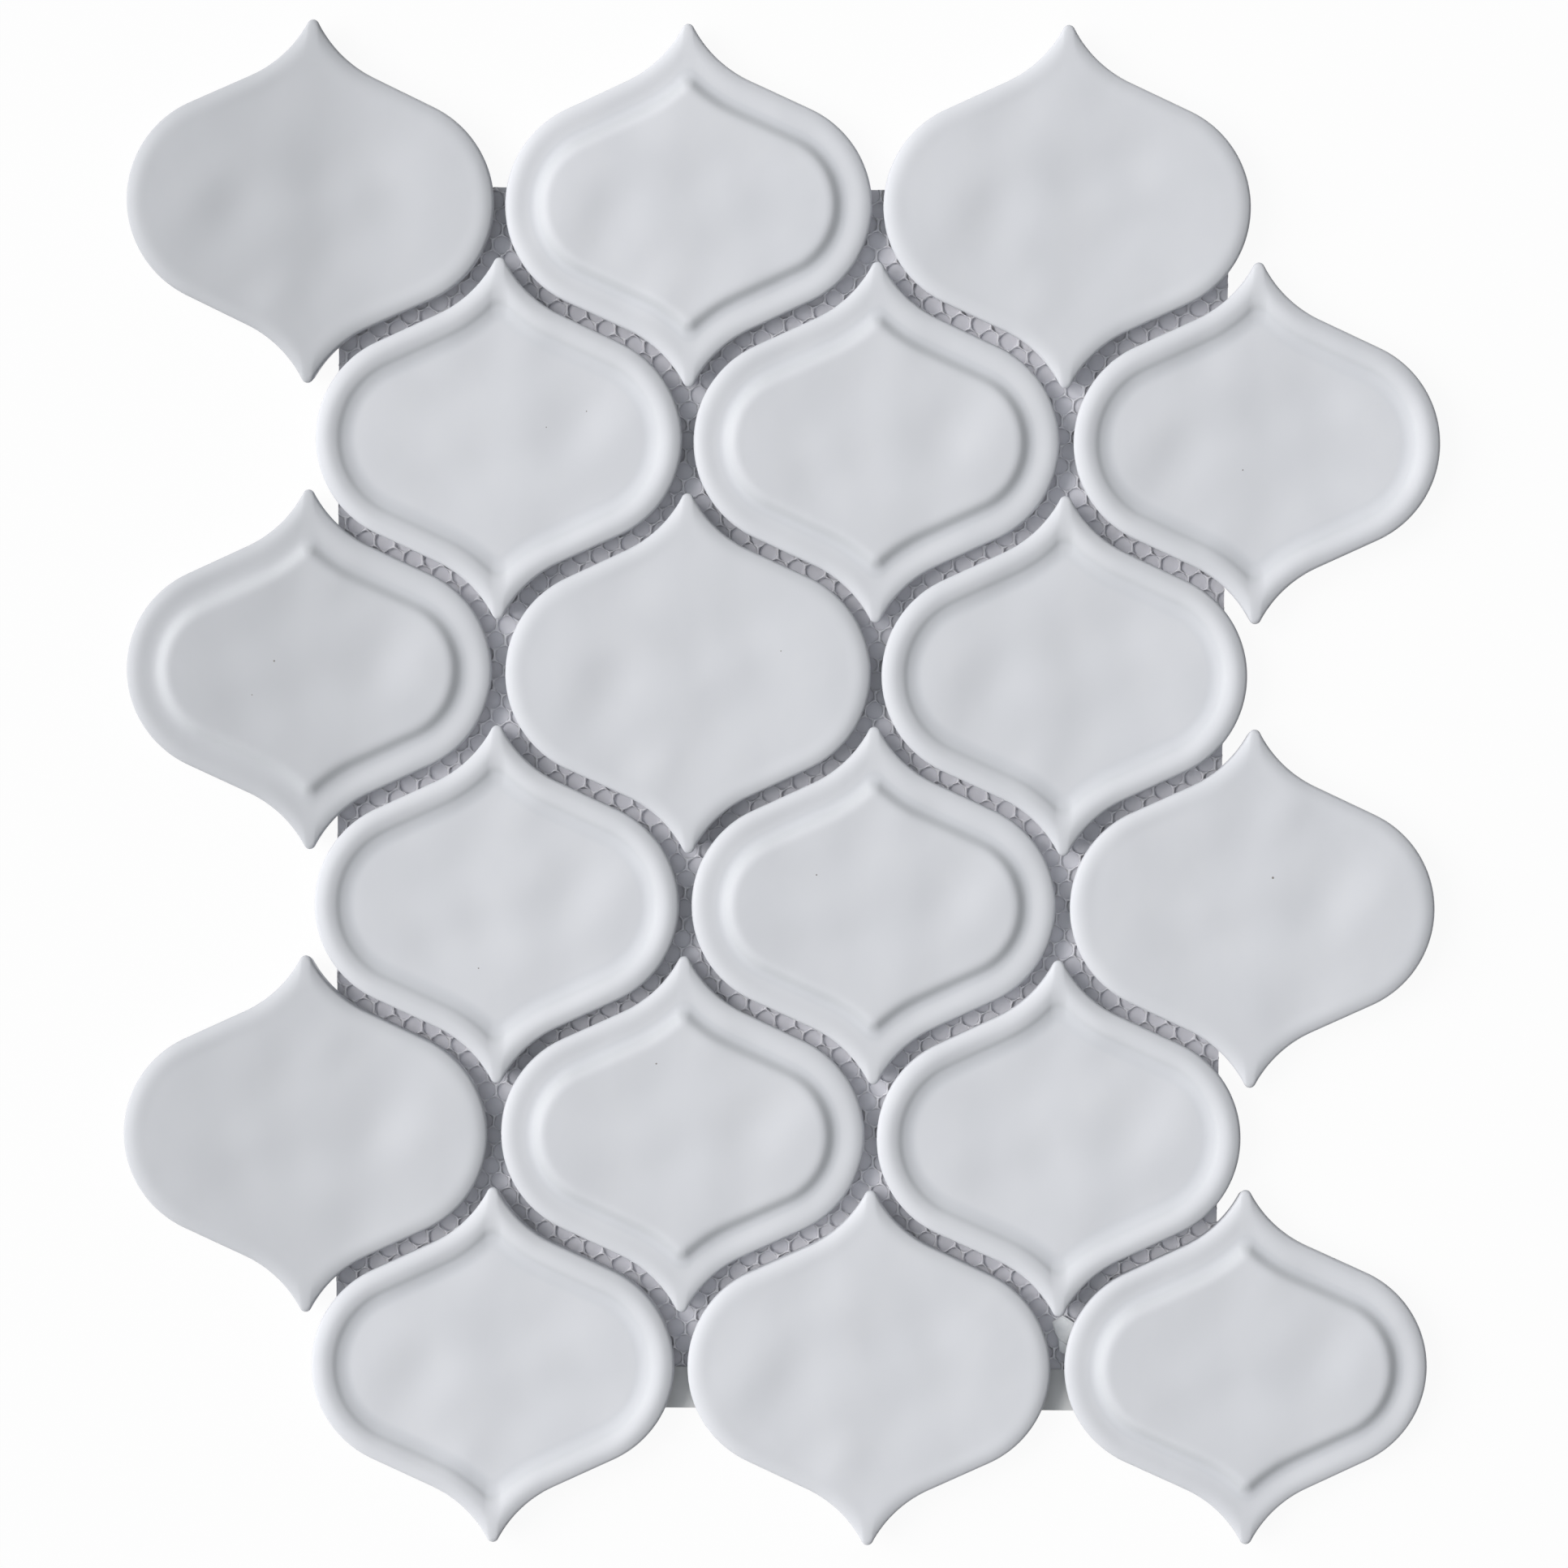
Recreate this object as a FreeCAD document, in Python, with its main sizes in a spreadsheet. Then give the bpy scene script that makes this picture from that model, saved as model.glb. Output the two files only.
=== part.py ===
"""Mosaic sheet of 18 glazed arabesque (lantern) tiles, laid in six staggered rows on a backing net.

Millimetres. X runs along the rows, Y across them and Z up out of the glazed faces.
The origin is under the middle of the sheet, on the surface that the net lies on.
"""

import FreeCAD, Part
import math
import os

import Sketcher
from FreeCAD import Vector

doc = FreeCAD.newDocument("arabesque_mosaic_sheet")
sizes = doc.addObject("Spreadsheet::Sheet", "Sizes")
laying = doc.addObject("Spreadsheet::Sheet", "Laying")

ROWS = 6
TILES_PER_ROW = 3

# Driving sizes: name, value, what it is
DRIVING = [
    ("tile_width", "72.2", "across the two round sides"),
    ("row_pitch", "45.9", "from one row's centre line to the next"),
    ("side_joint", "2.5", "gap between two neighbours in a row"),
    ("flank_joint", "2.9", "gap along the flanks, between two rows"),
    ("flank_straight", "13.1", "straight stretch between the round side and the hollow flank"),
    ("tip_round", "1.2", "radius of the two pointed ends, of the tile and of its relief"),
    ("tile_top", "8.0", "highest part of every tile, above its back"),
    ("relief_depth", "1.3", "how far the two relief patterns fall below that"),
    ("edge_width", "2.6", "how far the glazed top edge is softened inwards"),
    ("edge_drop", "1.5", "how far that soft edge falls towards the side wall"),
    ("panel_foot", "5.6", "inset of the foot of a raised panel's slope"),
    ("panel_edge", "8.8", "inset of the top of that slope"),
    ("rim_foot", "6.4", "inset of the foot of a raised rim's inner slope"),
    ("side_overhang", "41.4", "how far the outer tiles reach past the net at each side"),
    ("top_overhang", "31.6", "how far the first row's tips reach past it"),
    ("bottom_overhang", "25.8", "how far the last row's tips reach past it"),
    ("net_thickness", "0.5", "thickness of the knitted net"),
]

# Sizes that follow from them. A flank is hollowed out round the neighbour's round side, one joint away.
DERIVED = [
    ("column_pitch", "=tile_width + side_joint"),
    ("overlap", "=tile_width - column_pitch / 2"),
    (
        "side_radius",
        "=(row_pitch ^ 2 + overlap ^ 2 - flank_straight ^ 2 - flank_joint ^ 2)"
        " / (4 * (overlap + flank_joint))",
    ),
    ("side_centre", "=tile_width / 2 - side_radius"),
    ("flank_radius", "=side_radius + flank_joint"),
    ("flank_centre", "=column_pitch / 2 - side_centre"),
    ("relief_floor", "=tile_top - relief_depth"),
    ("high_wall", "=tile_top - edge_drop"),
    ("low_wall", "=relief_floor - edge_drop"),
    (
        "tile_length",
        "=2 * (row_pitch + tip_round - sqrt((flank_radius + tip_round) ^ 2 - flank_centre ^ 2))",
    ),
    ("sheet_width", f"={TILES_PER_ROW - 0.5} * column_pitch + tile_width"),
    ("sheet_length", f"={ROWS - 1} * row_pitch + tile_length"),
    ("net_width", "=sheet_width - 2 * side_overhang"),
    ("net_length", "=sheet_length - top_overhang - bottom_overhang"),
]

# How each tile was laid: shifted right and up in mm and turned anticlockwise in degrees, with its pattern.
LAID = {
    "r1c1": (0.3, 0.3, -0.8, "plain"),
    "r1c2": (-0.1, 0.1, 0.5, "raised_panel"),
    "r1c3": (-0.4, 0.3, 0.0, "plain"),
    "r2c1": (0.2, 0.0, 0.0, "raised_rim"),
    "r2c2": (-0.1, -0.2, 0.1, "raised_panel"),
    "r2c3": (0.1, 0.1, 0.1, "raised_rim"),
    "r3c1": (0.2, 0.1, 0.3, "raised_panel"),
    "r3c2": (0.4, -0.1, 0.5, "plain"),
    "r3c3": (0.0, -0.1, 0.2, "raised_rim"),
    "r4c1": (0.2, -0.2, 0.2, "raised_rim"),
    "r4c2": (0.1, 0.0, 0.3, "raised_panel"),
    "r4c3": (0.3, 0.0, -0.1, "plain"),
    "r5c1": (-0.2, -0.2, 0.1, "plain"),
    "r5c2": (-0.1, 0.1, -0.1, "raised_panel"),
    "r5c3": (-0.2, -0.1, 0.6, "raised_rim"),
    "r6c1": (-0.2, -0.2, 0.2, "raised_rim"),
    "r6c2": (-0.1, -0.3, -0.1, "plain"),
    "r6c3": (0.2, 0.2, 0.7, "raised_panel"),
}

# Each pattern's side wall, and the relief on top of it: lofts through levels of inset and height.
# A sunk field is cut away; the others are added.
WALLS = {"plain": "high_wall", "raised_panel": "low_wall", "raised_rim": "high_wall"}
RELIEFS = {
    "plain": {"soft_edge": [(None, "high_wall"), ("edge_width", "tile_top")]},
    "raised_panel": {
        "soft_edge": [(None, "low_wall"), ("edge_width", "relief_floor")],
        "panel": [("panel_foot", "relief_floor"), ("panel_edge", "tile_top")],
    },
    "raised_rim": {
        "soft_edge": [(None, "high_wall"), ("edge_width", "tile_top")],
        "sunk_field": [("edge_width", "tile_top"), ("rim_foot", "relief_floor")],
    },
}


def fill_sheets():
    """Write the sizes and the laying of the tiles into their two sheets."""
    for row, (alias, value, meaning) in enumerate(DRIVING, start=1):
        sizes.set(f"A{row}", meaning)
        sizes.set(f"B{row}", value)
        sizes.setAlias(f"B{row}", alias)
    for row, (alias, formula) in enumerate(DERIVED, start=len(DRIVING) + 1):
        sizes.set(f"B{row}", formula)
        sizes.setAlias(f"B{row}", alias)
    for row, (place, (right, up, turn, _)) in enumerate(LAID.items(), start=1):
        for column, name, value in (("A", "right", right), ("B", "up", up), ("C", "turn", turn)):
            laying.set(f"{column}{row}", str(value))
            laying.setAlias(f"{column}{row}", f"{name}_{place}")
    doc.recompute()


def origin_plane(body, role):
    return next(f for f in body.Origin.OriginFeatures if f.Role == role)


def outline_points(inset):
    """Corner points of the lantern's upper right quarter, inset from its outer edge."""
    side = Vector(sizes.side_centre, 0, 0)
    flank = Vector(sizes.flank_centre, sizes.row_pitch, 0)
    side_radius = sizes.side_radius - inset
    flank_radius = sizes.flank_radius + inset
    between = flank - side
    lean = math.acos((side_radius + flank_radius) / between.Length)
    direction = math.atan2(between.y, between.x) - lean
    normal = Vector(math.cos(direction), math.sin(direction), 0)
    drop = math.sqrt((flank_radius + sizes.tip_round) ** 2 - flank.x**2)
    tip_centre = Vector(0, flank.y - drop, 0)
    towards_tip = (tip_centre - flank).normalize()
    return {
        "side": side,
        "flank": flank,
        "tip_centre": tip_centre,
        "side_end": side + normal * side_radius,
        "flank_start": flank - normal * flank_radius,
        "flank_end": flank + towards_tip * flank_radius,
    }


def arc(centre, start, end):
    """Arc about a centre, anticlockwise from start to end."""
    radius = (start - centre).Length
    circle = Part.Circle(centre, Vector(0, 0, 1), radius)
    first = math.atan2(start.y - centre.y, start.x - centre.x)
    last = math.atan2(end.y - centre.y, end.x - centre.x)
    return Part.ArcOfCircle(circle, first, last)


def lantern_sketch(body, name, inset, height):
    """One level of a tile: twelve tangent edges, whose radii and centres follow the sizes sheet.

    inset and height are names of cells, or None for the tile's outer edge and its back.
    """
    sketch = body.newObject("Sketcher::SketchObject", name)
    sketch.AttachmentSupport = (origin_plane(body, "XY_Plane"), [""])
    sketch.MapMode = "FlatFace"
    if height:
        sketch.setExpression("AttachmentOffset.Base.z", f"Sizes.{height}")
    p = outline_points(sizes.get(inset) if inset else 0)

    def at(key, rightward, upward):
        """A point of the upper right quarter, moved into the quarter with the given signs."""
        return Vector(rightward * p[key].x, upward * p[key].y, 0)

    edges = [
        arc(at("side", 1, 1), at("side_end", 1, -1), at("side_end", 1, 1)),
        Part.LineSegment(at("side_end", 1, 1), at("flank_start", 1, 1)),
        arc(at("flank", 1, 1), at("flank_end", 1, 1), at("flank_start", 1, 1)),
        arc(at("tip_centre", 1, 1), at("flank_end", 1, 1), at("flank_end", -1, 1)),
        arc(at("flank", -1, 1), at("flank_start", -1, 1), at("flank_end", -1, 1)),
        Part.LineSegment(at("flank_start", -1, 1), at("side_end", -1, 1)),
        arc(at("side", -1, 1), at("side_end", -1, 1), at("side_end", -1, -1)),
        Part.LineSegment(at("side_end", -1, -1), at("flank_start", -1, -1)),
        arc(at("flank", -1, -1), at("flank_end", -1, -1), at("flank_start", -1, -1)),
        arc(at("tip_centre", 1, -1), at("flank_end", -1, -1), at("flank_end", 1, -1)),
        arc(at("flank", 1, -1), at("flank_start", 1, -1), at("flank_end", 1, -1)),
        Part.LineSegment(at("flank_start", 1, -1), at("side_end", 1, -1)),
    ]
    sketch.addGeometry(edges, False)

    # Geometry numbers of the pieces, and which end (1 start, 2 end) each meets the next with
    hollow = {2: (1, 1), 4: (-1, 1), 8: (-1, -1), 10: (1, -1)}
    round_sides = {0: 1, 6: -1}
    tips = (3, 9)
    clockwise = set(hollow)
    constraints = []
    for here in range(len(edges)):
        following = (here + 1) % len(edges)
        leaving = 1 if here in clockwise else 2
        arriving = 2 if following in clockwise else 1
        constraints.append(Sketcher.Constraint("Tangent", here, leaving, following, arriving))
    sketch.addConstraint(constraints)

    def bind(kind, geometry, value, expression):
        """A dimension of one arc; a coordinate of its centre is measured from the origin."""
        if kind == "Radius":
            number = sketch.addConstraint(Sketcher.Constraint(kind, geometry, value))
        else:
            number = sketch.addConstraint(Sketcher.Constraint(kind, geometry, 3, value))
        sketch.setExpression(f"Constraints[{number}]", expression)

    smaller = f" - Sizes.{inset}" if inset else ""
    larger = f" + Sizes.{inset}" if inset else ""
    for geometry, rightward in round_sides.items():
        bind("DistanceX", geometry, rightward * p["side"].x, f"{rightward} * Sizes.side_centre")
        sketch.addConstraint(Sketcher.Constraint("PointOnObject", geometry, 3, -1))
        bind("Radius", geometry, edges[geometry].Radius, f"Sizes.side_radius{smaller}")
    for geometry, (rightward, upward) in hollow.items():
        bind("DistanceX", geometry, rightward * p["flank"].x, f"{rightward} * Sizes.flank_centre")
        bind("DistanceY", geometry, upward * p["flank"].y, f"{upward} * Sizes.row_pitch")
        bind("Radius", geometry, edges[geometry].Radius, f"Sizes.flank_radius{larger}")
    for geometry in tips:
        bind("Radius", geometry, edges[geometry].Radius, "Sizes.tip_round")
    return sketch


def make_tile(place, row, column):
    """One fired tile: its upright wall is padded from its back, and lofts shape the relief on top."""
    pattern = LAID[place][3]
    body = doc.addObject("PartDesign::Body", f"tile_{place}")
    body.Label = f"tile_{place}_{pattern}"
    wall = body.newObject("PartDesign::Pad", f"wall_{place}")
    wall.Profile = lantern_sketch(body, f"back_outline_{place}", None, None)
    wall.setExpression("Length", f"Sizes.{WALLS[pattern]}")
    for relief, levels in RELIEFS[pattern].items():
        kind = "SubtractiveLoft" if relief == "sunk_field" else "AdditiveLoft"
        loft = body.newObject(f"PartDesign::{kind}", f"{relief}_{place}")
        sketches = [
            lantern_sketch(body, f"{relief}_level_{number}_{place}", inset, height)
            for number, (inset, height) in enumerate(levels)
        ]
        loft.Profile = sketches[0]
        loft.Sections = sketches[1:]
        loft.Ruled = True
        body.Tip = loft

    stagger = -0.25 if row % 2 else 0.25
    across = column - (TILES_PER_ROW + 1) / 2 + stagger
    up = (ROWS + 1) / 2 - row
    body.setExpression("Placement.Base.x", f"{across} * Sizes.column_pitch + Laying.right_{place}")
    body.setExpression("Placement.Base.y", f"{up} * Sizes.row_pitch + Laying.up_{place}")
    body.setExpression("Placement.Base.z", "Sizes.net_thickness")
    body.setExpression("Placement.Rotation.Angle", f"Laying.turn_{place}")
    return body


def make_net():
    """The net is a soft knitted sheet of fine holes; here it is its outer shape."""
    net = doc.addObject("Part::Box", "backing_net")
    net.Label = "backing_net"
    net.setExpression("Length", "Sizes.net_width")
    net.setExpression("Width", "Sizes.net_length")
    net.setExpression("Height", "Sizes.net_thickness")
    net.setExpression("Placement.Base.x", "-Sizes.net_width / 2")
    net.setExpression("Placement.Base.y", "Sizes.bottom_overhang - Sizes.sheet_length / 2")
    return net


def check_and_write(pieces):
    """Stop on anything that failed to build, then write each piece to its own file."""
    for thing in doc.Objects:
        if "Invalid" in thing.State or "Error" in thing.State:
            raise RuntimeError(f"{thing.Label} failed: {thing.State}")
    os.makedirs("parts", exist_ok=True)
    for piece in pieces:
        shape = piece.Shape
        if shape.isNull() or not shape.isValid() or len(shape.Solids) != 1:
            raise RuntimeError(f"{piece.Label} is not one valid solid")
        shape.exportStep(os.path.join("parts", f"{piece.Label}.step"))
        box = shape.BoundBox
        print(
            f"{piece.Label}: {shape.Volume / 1000:.2f} cm3, "
            f"{box.XLength:.1f} x {box.YLength:.1f} x {box.ZLength:.1f} mm"
        )


fill_sheets()
pieces = [make_net()]
for row in range(1, ROWS + 1):
    for column in range(1, TILES_PER_ROW + 1):
        pieces.append(make_tile(f"r{row}c{column}", row, column))
doc.recompute()
check_and_write(pieces)
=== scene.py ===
"""Looks of an arabesque mosaic sheet: 18 satin-glazed porcelain tiles of three patterns on a knitted net.

Metres, in the CAD model's frame: X along the rows, Y across them, Z up out of the glazed faces.
"""

import math

import bmesh
import bpy
import numpy as np
from mathutils import Matrix, Vector, noise
from mathutils.bvhtree import BVHTree


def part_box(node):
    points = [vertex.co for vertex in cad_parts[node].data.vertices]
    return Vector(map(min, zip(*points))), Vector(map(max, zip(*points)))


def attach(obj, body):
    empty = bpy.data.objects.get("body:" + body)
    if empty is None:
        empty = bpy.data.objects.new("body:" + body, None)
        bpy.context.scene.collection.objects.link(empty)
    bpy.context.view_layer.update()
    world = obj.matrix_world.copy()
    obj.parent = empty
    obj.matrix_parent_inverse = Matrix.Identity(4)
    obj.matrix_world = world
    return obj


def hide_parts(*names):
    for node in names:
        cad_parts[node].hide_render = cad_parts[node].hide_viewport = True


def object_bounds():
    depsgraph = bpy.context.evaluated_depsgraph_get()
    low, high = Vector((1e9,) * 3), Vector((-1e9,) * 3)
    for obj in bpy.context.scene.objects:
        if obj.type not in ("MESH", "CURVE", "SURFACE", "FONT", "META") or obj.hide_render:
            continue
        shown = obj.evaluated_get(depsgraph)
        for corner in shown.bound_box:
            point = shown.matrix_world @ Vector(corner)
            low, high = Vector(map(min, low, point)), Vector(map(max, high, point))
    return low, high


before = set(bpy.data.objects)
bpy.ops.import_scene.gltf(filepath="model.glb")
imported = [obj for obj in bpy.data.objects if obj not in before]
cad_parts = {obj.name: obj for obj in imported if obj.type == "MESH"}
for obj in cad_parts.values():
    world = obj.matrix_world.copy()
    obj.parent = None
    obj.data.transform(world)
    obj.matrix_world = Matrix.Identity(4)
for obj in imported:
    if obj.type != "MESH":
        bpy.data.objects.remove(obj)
cad_low, cad_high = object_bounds()

MM = 0.001

# The lantern outline, as in the CAD model
TILE_WIDTH = 72.2 * MM
ROW_PITCH = 45.9 * MM
SIDE_JOINT = 2.5 * MM
FLANK_JOINT = 2.9 * MM
FLANK_STRAIGHT = 13.1 * MM
COLUMN_PITCH = TILE_WIDTH + SIDE_JOINT
OVERLAP = TILE_WIDTH - COLUMN_PITCH / 2
SIDE_RADIUS = (ROW_PITCH**2 + OVERLAP**2 - FLANK_STRAIGHT**2 - FLANK_JOINT**2) / (
    4 * (OVERLAP + FLANK_JOINT)
)
SIDE_CENTRE = TILE_WIDTH / 2 - SIDE_RADIUS
FLANK_RADIUS = SIDE_RADIUS + FLANK_JOINT
FLANK_CENTRE = COLUMN_PITCH / 2 - SIDE_CENTRE

# Round of its two points: the tip's own, the widest, in the relief, and the field's, with their insets
TIP_ROUND = 1.2 * MM
SHOULDER_ROUND, SHOULDER_INSET = 2.5 * MM, 4.5 * MM
FIELD_ROUND, FIELD_ROUND_INSET = 0.6 * MM, 10.0 * MM

# Steps along a quarter outline: round side, straight, hollow flank, tip
SIDE_STEPS, STRAIGHT_STEPS, FLANK_STEPS, TIP_STEPS = 26, 8, 28, 8

# Section of a tile
TILE_HEIGHT = 8.0 * MM
ROLL = 0.5 * MM  # radius of the glazed arris

# The pillow: how far each pattern's face falls to its edge, and over what width
PILLOWS = {
    "plain": (1.03 * MM, 4.8 * MM),
    "raised_panel": (0.85 * MM, 3.9 * MM),
    "raised_rim": (1.03 * MM, 4.8 * MM),
}
PILLOW_FORM = 2.8  # 2 is a round pillow, and more falls faster at its edge

# Each relief is a broad rise or fall with a steeper one in it: height, and the insets it runs between
PANEL_RISES = [(0.92 * MM, 4.5 * MM, 9.4 * MM), (0.34 * MM, 5.7 * MM, 8.2 * MM)]
RIM_FALLS = [(1.14 * MM, 1.4 * MM, 8.1 * MM), (0.14 * MM, 4.0 * MM, 5.3 * MM)]

# Rings of points: over the roll, over the relief, and the field's, which only shrink towards the middle
ROLL_RINGS = 7
RELIEF_RINGS = np.arange(0.7, 10.3, 0.35) * MM
FIELD_INSET = 10.4 * MM
FIELD_RINGS = 16

# Shallow hollows (and, with a minus, swells) that the mould presses in every face, which overlap:
# place on the tile, depth, half length and half width in mm, and lean in degrees. They were fitted to the
# photo's shading and rounded.
HOLLOWS = [
    (-13.4, 5.0, 0.88, 11.0, 4.8, 70),
    (8.0, 7.2, 0.81, 6.5, 4.4, 0),
    (-0.9, -13.4, 0.64, 11.0, 4.5, 34),
    (-5.1, -17.4, -0.60, 6.2, 3.6, 47),
    (-10.3, 5.9, -0.37, 6.7, 3.9, -16),
    (8.1, 4.8, -0.48, 6.0, 4.1, -68),
    (17.6, -13.2, 0.27, 11.0, 5.5, -57),
    (-14.0, 7.0, -0.60, 11.0, 4.2, 48),
]
WAVE_HEIGHT = 0.09 * MM  # of each tile's own unevenness
WAVE_LENGTH = 9 * MM
TILE_TO_TILE = 7.3  # how far apart the tiles take their own unevenness from the noise
SET_DOWN = 0.15 * MM  # of the whole face, so that its swells stay below the tile's height
SWELL_INSET = 5 * MM  # from here in, the hollows and swells are at full depth

# Tiles that left the mould the same way up; the others lie half a turn round
UNTURNED_TILES = {"r1c1", "r1c2", "r1c3", "r2c3", "r3c2", "r3c3", "r6c1", "r6c2"}

# Back, foot and wall: inset and height above the back in mm, bare at first, then glazed
BACK_RINGS = [(8.0, 0.0), (2.0, 0.0), (1.05, 0.0), (0.85, 0.06), (0.75, 0.2), (0.62, 1.2)]
GLAZED_WALL = [(0.55, 1.28), (0.4, 1.4), (0.34, 1.65), (0.22, 3.2), (0.1, 4.8)]

# The knitted net
HOLE_PITCH = 3.9 * MM
HOLE_ROW_PITCH = 3.0 * MM
YARN_WIDTH = 0.62 * MM
YARN_CREST, KNOT_CREST = 0.36, 0.48  # shares of the net's thickness, up from its middle
HOLE_EASE = 1.04  # how much wider than the yarn leaves them the holes are pulled
KNIT_DRIFT = 1.1 * MM  # of the yarns from their even places
KNOT_GAP = 0.03 * MM  # points of two holes that lie closer than this are one
KNIT_SPARE = 1.12  # how much larger than the net it is knitted, because it lies askew
NET_SKEW = math.radians(-3.5)
SELVEDGE = 8.3 * MM
SELVEDGE_CREST = 0.3  # share of the net's thickness, up and down from its middle
SELVEDGE_LAP = 0.3 * MM  # how far the knit runs into it
SELVEDGE_ROUND = 0.1 * MM

# Where the glaze pools, and the painted shade on the relief's steep slopes
FULL_POOL_BEND = 0.012 * MM  # rise of both neighbours above a ring that gathers the most glaze
SHADE_START_SLOPE, SHADE_DEEPENING = 0.2, 1.3  # slope from which the painted shade begins, and how fast it deepens beyond
SHADE_INSET, SHADE_FULL_INSET = 0.5 * MM, 3 * MM  # the pillow's outer part gets none of the painted shade
GLAZE_SHIFT = np.array((0.31, 0.17, 0.05))  # of the cloudy pattern, from tile to tile

# Painted shade: a share of grey on the glaze, deepest at the tiles' left ends; three tiles get more of it,
# and four get none and are whiter than the rest
EVEN_LEFT_SHADE = 0.12
OTHER_LEFT_SHADES = {"r1c1": 1.0, "r3c1": 0.87, "r5c1": 0.63, "r1c2": 0, "r5c3": 0, "r6c1": 0, "r6c2": 0}
LEFT_SHADE_LOST = 0.7  # share of it that is gone at the right end
FADE_START, FADE_END = -8 * MM, 26 * MM  # along the tile

# Iron specks in the glaze: tile, place on it and radius in mm
PIN_SPECKS = [
    ("r4c3", 3.9, 6.3, 0.25),
    ("r4c2", -11.4, 6.2, 0.17),
    ("r5c2", -5.3, 14.3, 0.18),
    ("r3c1", -6.7, 1.7, 0.20),
    ("r3c1", -11.1, -5.0, 0.14),
    ("r2c1", 17.2, 5.5, 0.14),
    ("r2c1", 9.3, 2.3, 0.12),
    ("r4c1", -3.6, -12.7, 0.15),
    ("r3c2", 18.3, 4.6, 0.13),
    ("r2c3", -2.7, -5.2, 0.15),
]
SPECK_RISE = 0.03 * MM  # out of the face, and as deep into it

# Dried glue on the net where r5c3, r6c2 and r6c3 meet: height, and corners on the sheet, in mm
GLUE_SPILLS = [
    (0.20, [(55.3, -106.6), (55.9, -108.9), (57.4, -111.4), (58.2, -111.6), (58.9, -109.1), (60.2, -107.2),
            (57.1, -105.5)]),
    (0.60, [(56.9, -105.3), (59.8, -107.1), (60.0, -106.8), (57.3, -105.1)]),
    (0.75, [(56.5, -110.0), (56.8, -112.6), (58.3, -113.2), (58.8, -111.4)]),
]
GLUE_LEVELS = ((1.0, 0.0), (1.0, 0.5), (0.94, 0.85), (0.75, 1.0))  # shares of a spill's width and height
GLUE_SINK = 0.05 * MM  # into the net

# Table
TABLE_REACH = 3.0
TABLE_GAP = 0.2 * MM  # below the sheet, so that no faces meet
WHITE_SHARE = 0.94  # of the open table, as the camera and reflections see it

# Light
FILL_LEVEL = 0.28
FILL_COLOUR = (0.92, 0.985, 1.01)  # a little cooler than the key
FILL_FOCUS = 4  # how fast the fill fades away from its middle
FILL_LEAN = math.radians(28)  # from overhead towards the key
KEY_LEVEL = 0.64
KEY_COLOUR = (1.02, 1.0, 0.99)
KEY_DISTANCE = 12.0
KEY_SIDE = 10.0
KEY_ELEVATION = math.radians(41)
KEY_AZIMUTH = math.radians(169)  # from the left and a little from the upper end

# Camera
CAMERA_PLACE = (0.5 * MM, 45.0 * MM, 910 * MM)
CAMERA_LEAN, CAMERA_TURN = math.radians(-2.78), math.radians(0.42)
LENS, SENSOR = 105, 36
NEAREST, FARTHEST = 0.05, 20  # that it sees


def smooth_rise(inset, start, end):
    """0 before the start, 1 after the end, with a soft beginning and end between them."""
    t = np.clip((inset - start) / (end - start), 0, 1)
    return t**3 * (t * (6 * t - 15) + 10)


# Shader nodes


def add(tree, kind, place=None, **settings):
    """A node with its settings. Inputs are given by the names in place: a value, or a socket to link."""
    node = tree.nodes.new(kind)
    for name, value in settings.items():
        setattr(node, name, value)
    for name, value in (place or {}).items():
        socket = node.inputs[name]
        if isinstance(value, bpy.types.NodeSocket):
            tree.links.new(value, socket)
        else:
            socket.default_value = value
    return node


def value_of(tree, operation, *inputs):
    """A math node on numbers and sockets."""
    node = tree.nodes.new("ShaderNodeMath")
    node.operation = operation
    for socket, value in zip(node.inputs, inputs):
        if isinstance(value, bpy.types.NodeSocket):
            tree.links.new(value, socket)
        else:
            socket.default_value = value
    return node.outputs[0]


def make_cloud_group():
    """Soft patches of tone: used by the glaze, the bare clay and the yarn."""
    tree = bpy.data.node_groups.new("uneven_tone", "ShaderNodeTree")
    tree.interface.new_socket("Place", in_out="INPUT", socket_type="NodeSocketVector")
    for name in ("Patches", "Stretch", "Contrast"):
        tree.interface.new_socket(name, in_out="INPUT", socket_type="NodeSocketFloat")
    tree.interface.new_socket("Tone", in_out="OUTPUT", socket_type="NodeSocketFloat")
    given = tree.nodes.new("NodeGroupInput").outputs
    stretched = add(tree, "ShaderNodeCombineXYZ", {"X": 1.0, "Y": given["Stretch"], "Z": 1.0})
    place = add(
        tree, "ShaderNodeVectorMath", {0: given["Place"], 1: stretched.outputs[0]}, operation="MULTIPLY"
    )
    patches = add(
        tree,
        "ShaderNodeTexNoise",
        {"Vector": place.outputs[0], "Scale": given["Patches"], "Detail": 2.5, "Roughness": 0.45},
    )
    scaled = add(
        tree,
        "ShaderNodeMath",
        {0: value_of(tree, "SUBTRACT", patches.outputs["Fac"], 0.5), 1: given["Contrast"], 2: 0.5},
        operation="MULTIPLY_ADD",
        use_clamp=True,
    )
    out = tree.nodes.new("NodeGroupOutput")
    tree.links.new(scaled.outputs[0], out.inputs["Tone"])
    return tree


CLOUDS = make_cloud_group()


def clouds(tree, place, patches, stretch, contrast):
    """The tone of soft patches, 0 to 1: how many to a metre, how much closer along Y, and how strong."""
    group = tree.nodes.new("ShaderNodeGroup")
    group.node_tree = CLOUDS
    tree.links.new(place, group.inputs["Place"])
    group.inputs["Patches"].default_value = patches
    group.inputs["Stretch"].default_value = stretch
    group.inputs["Contrast"].default_value = contrast
    return group.outputs["Tone"]


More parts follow.
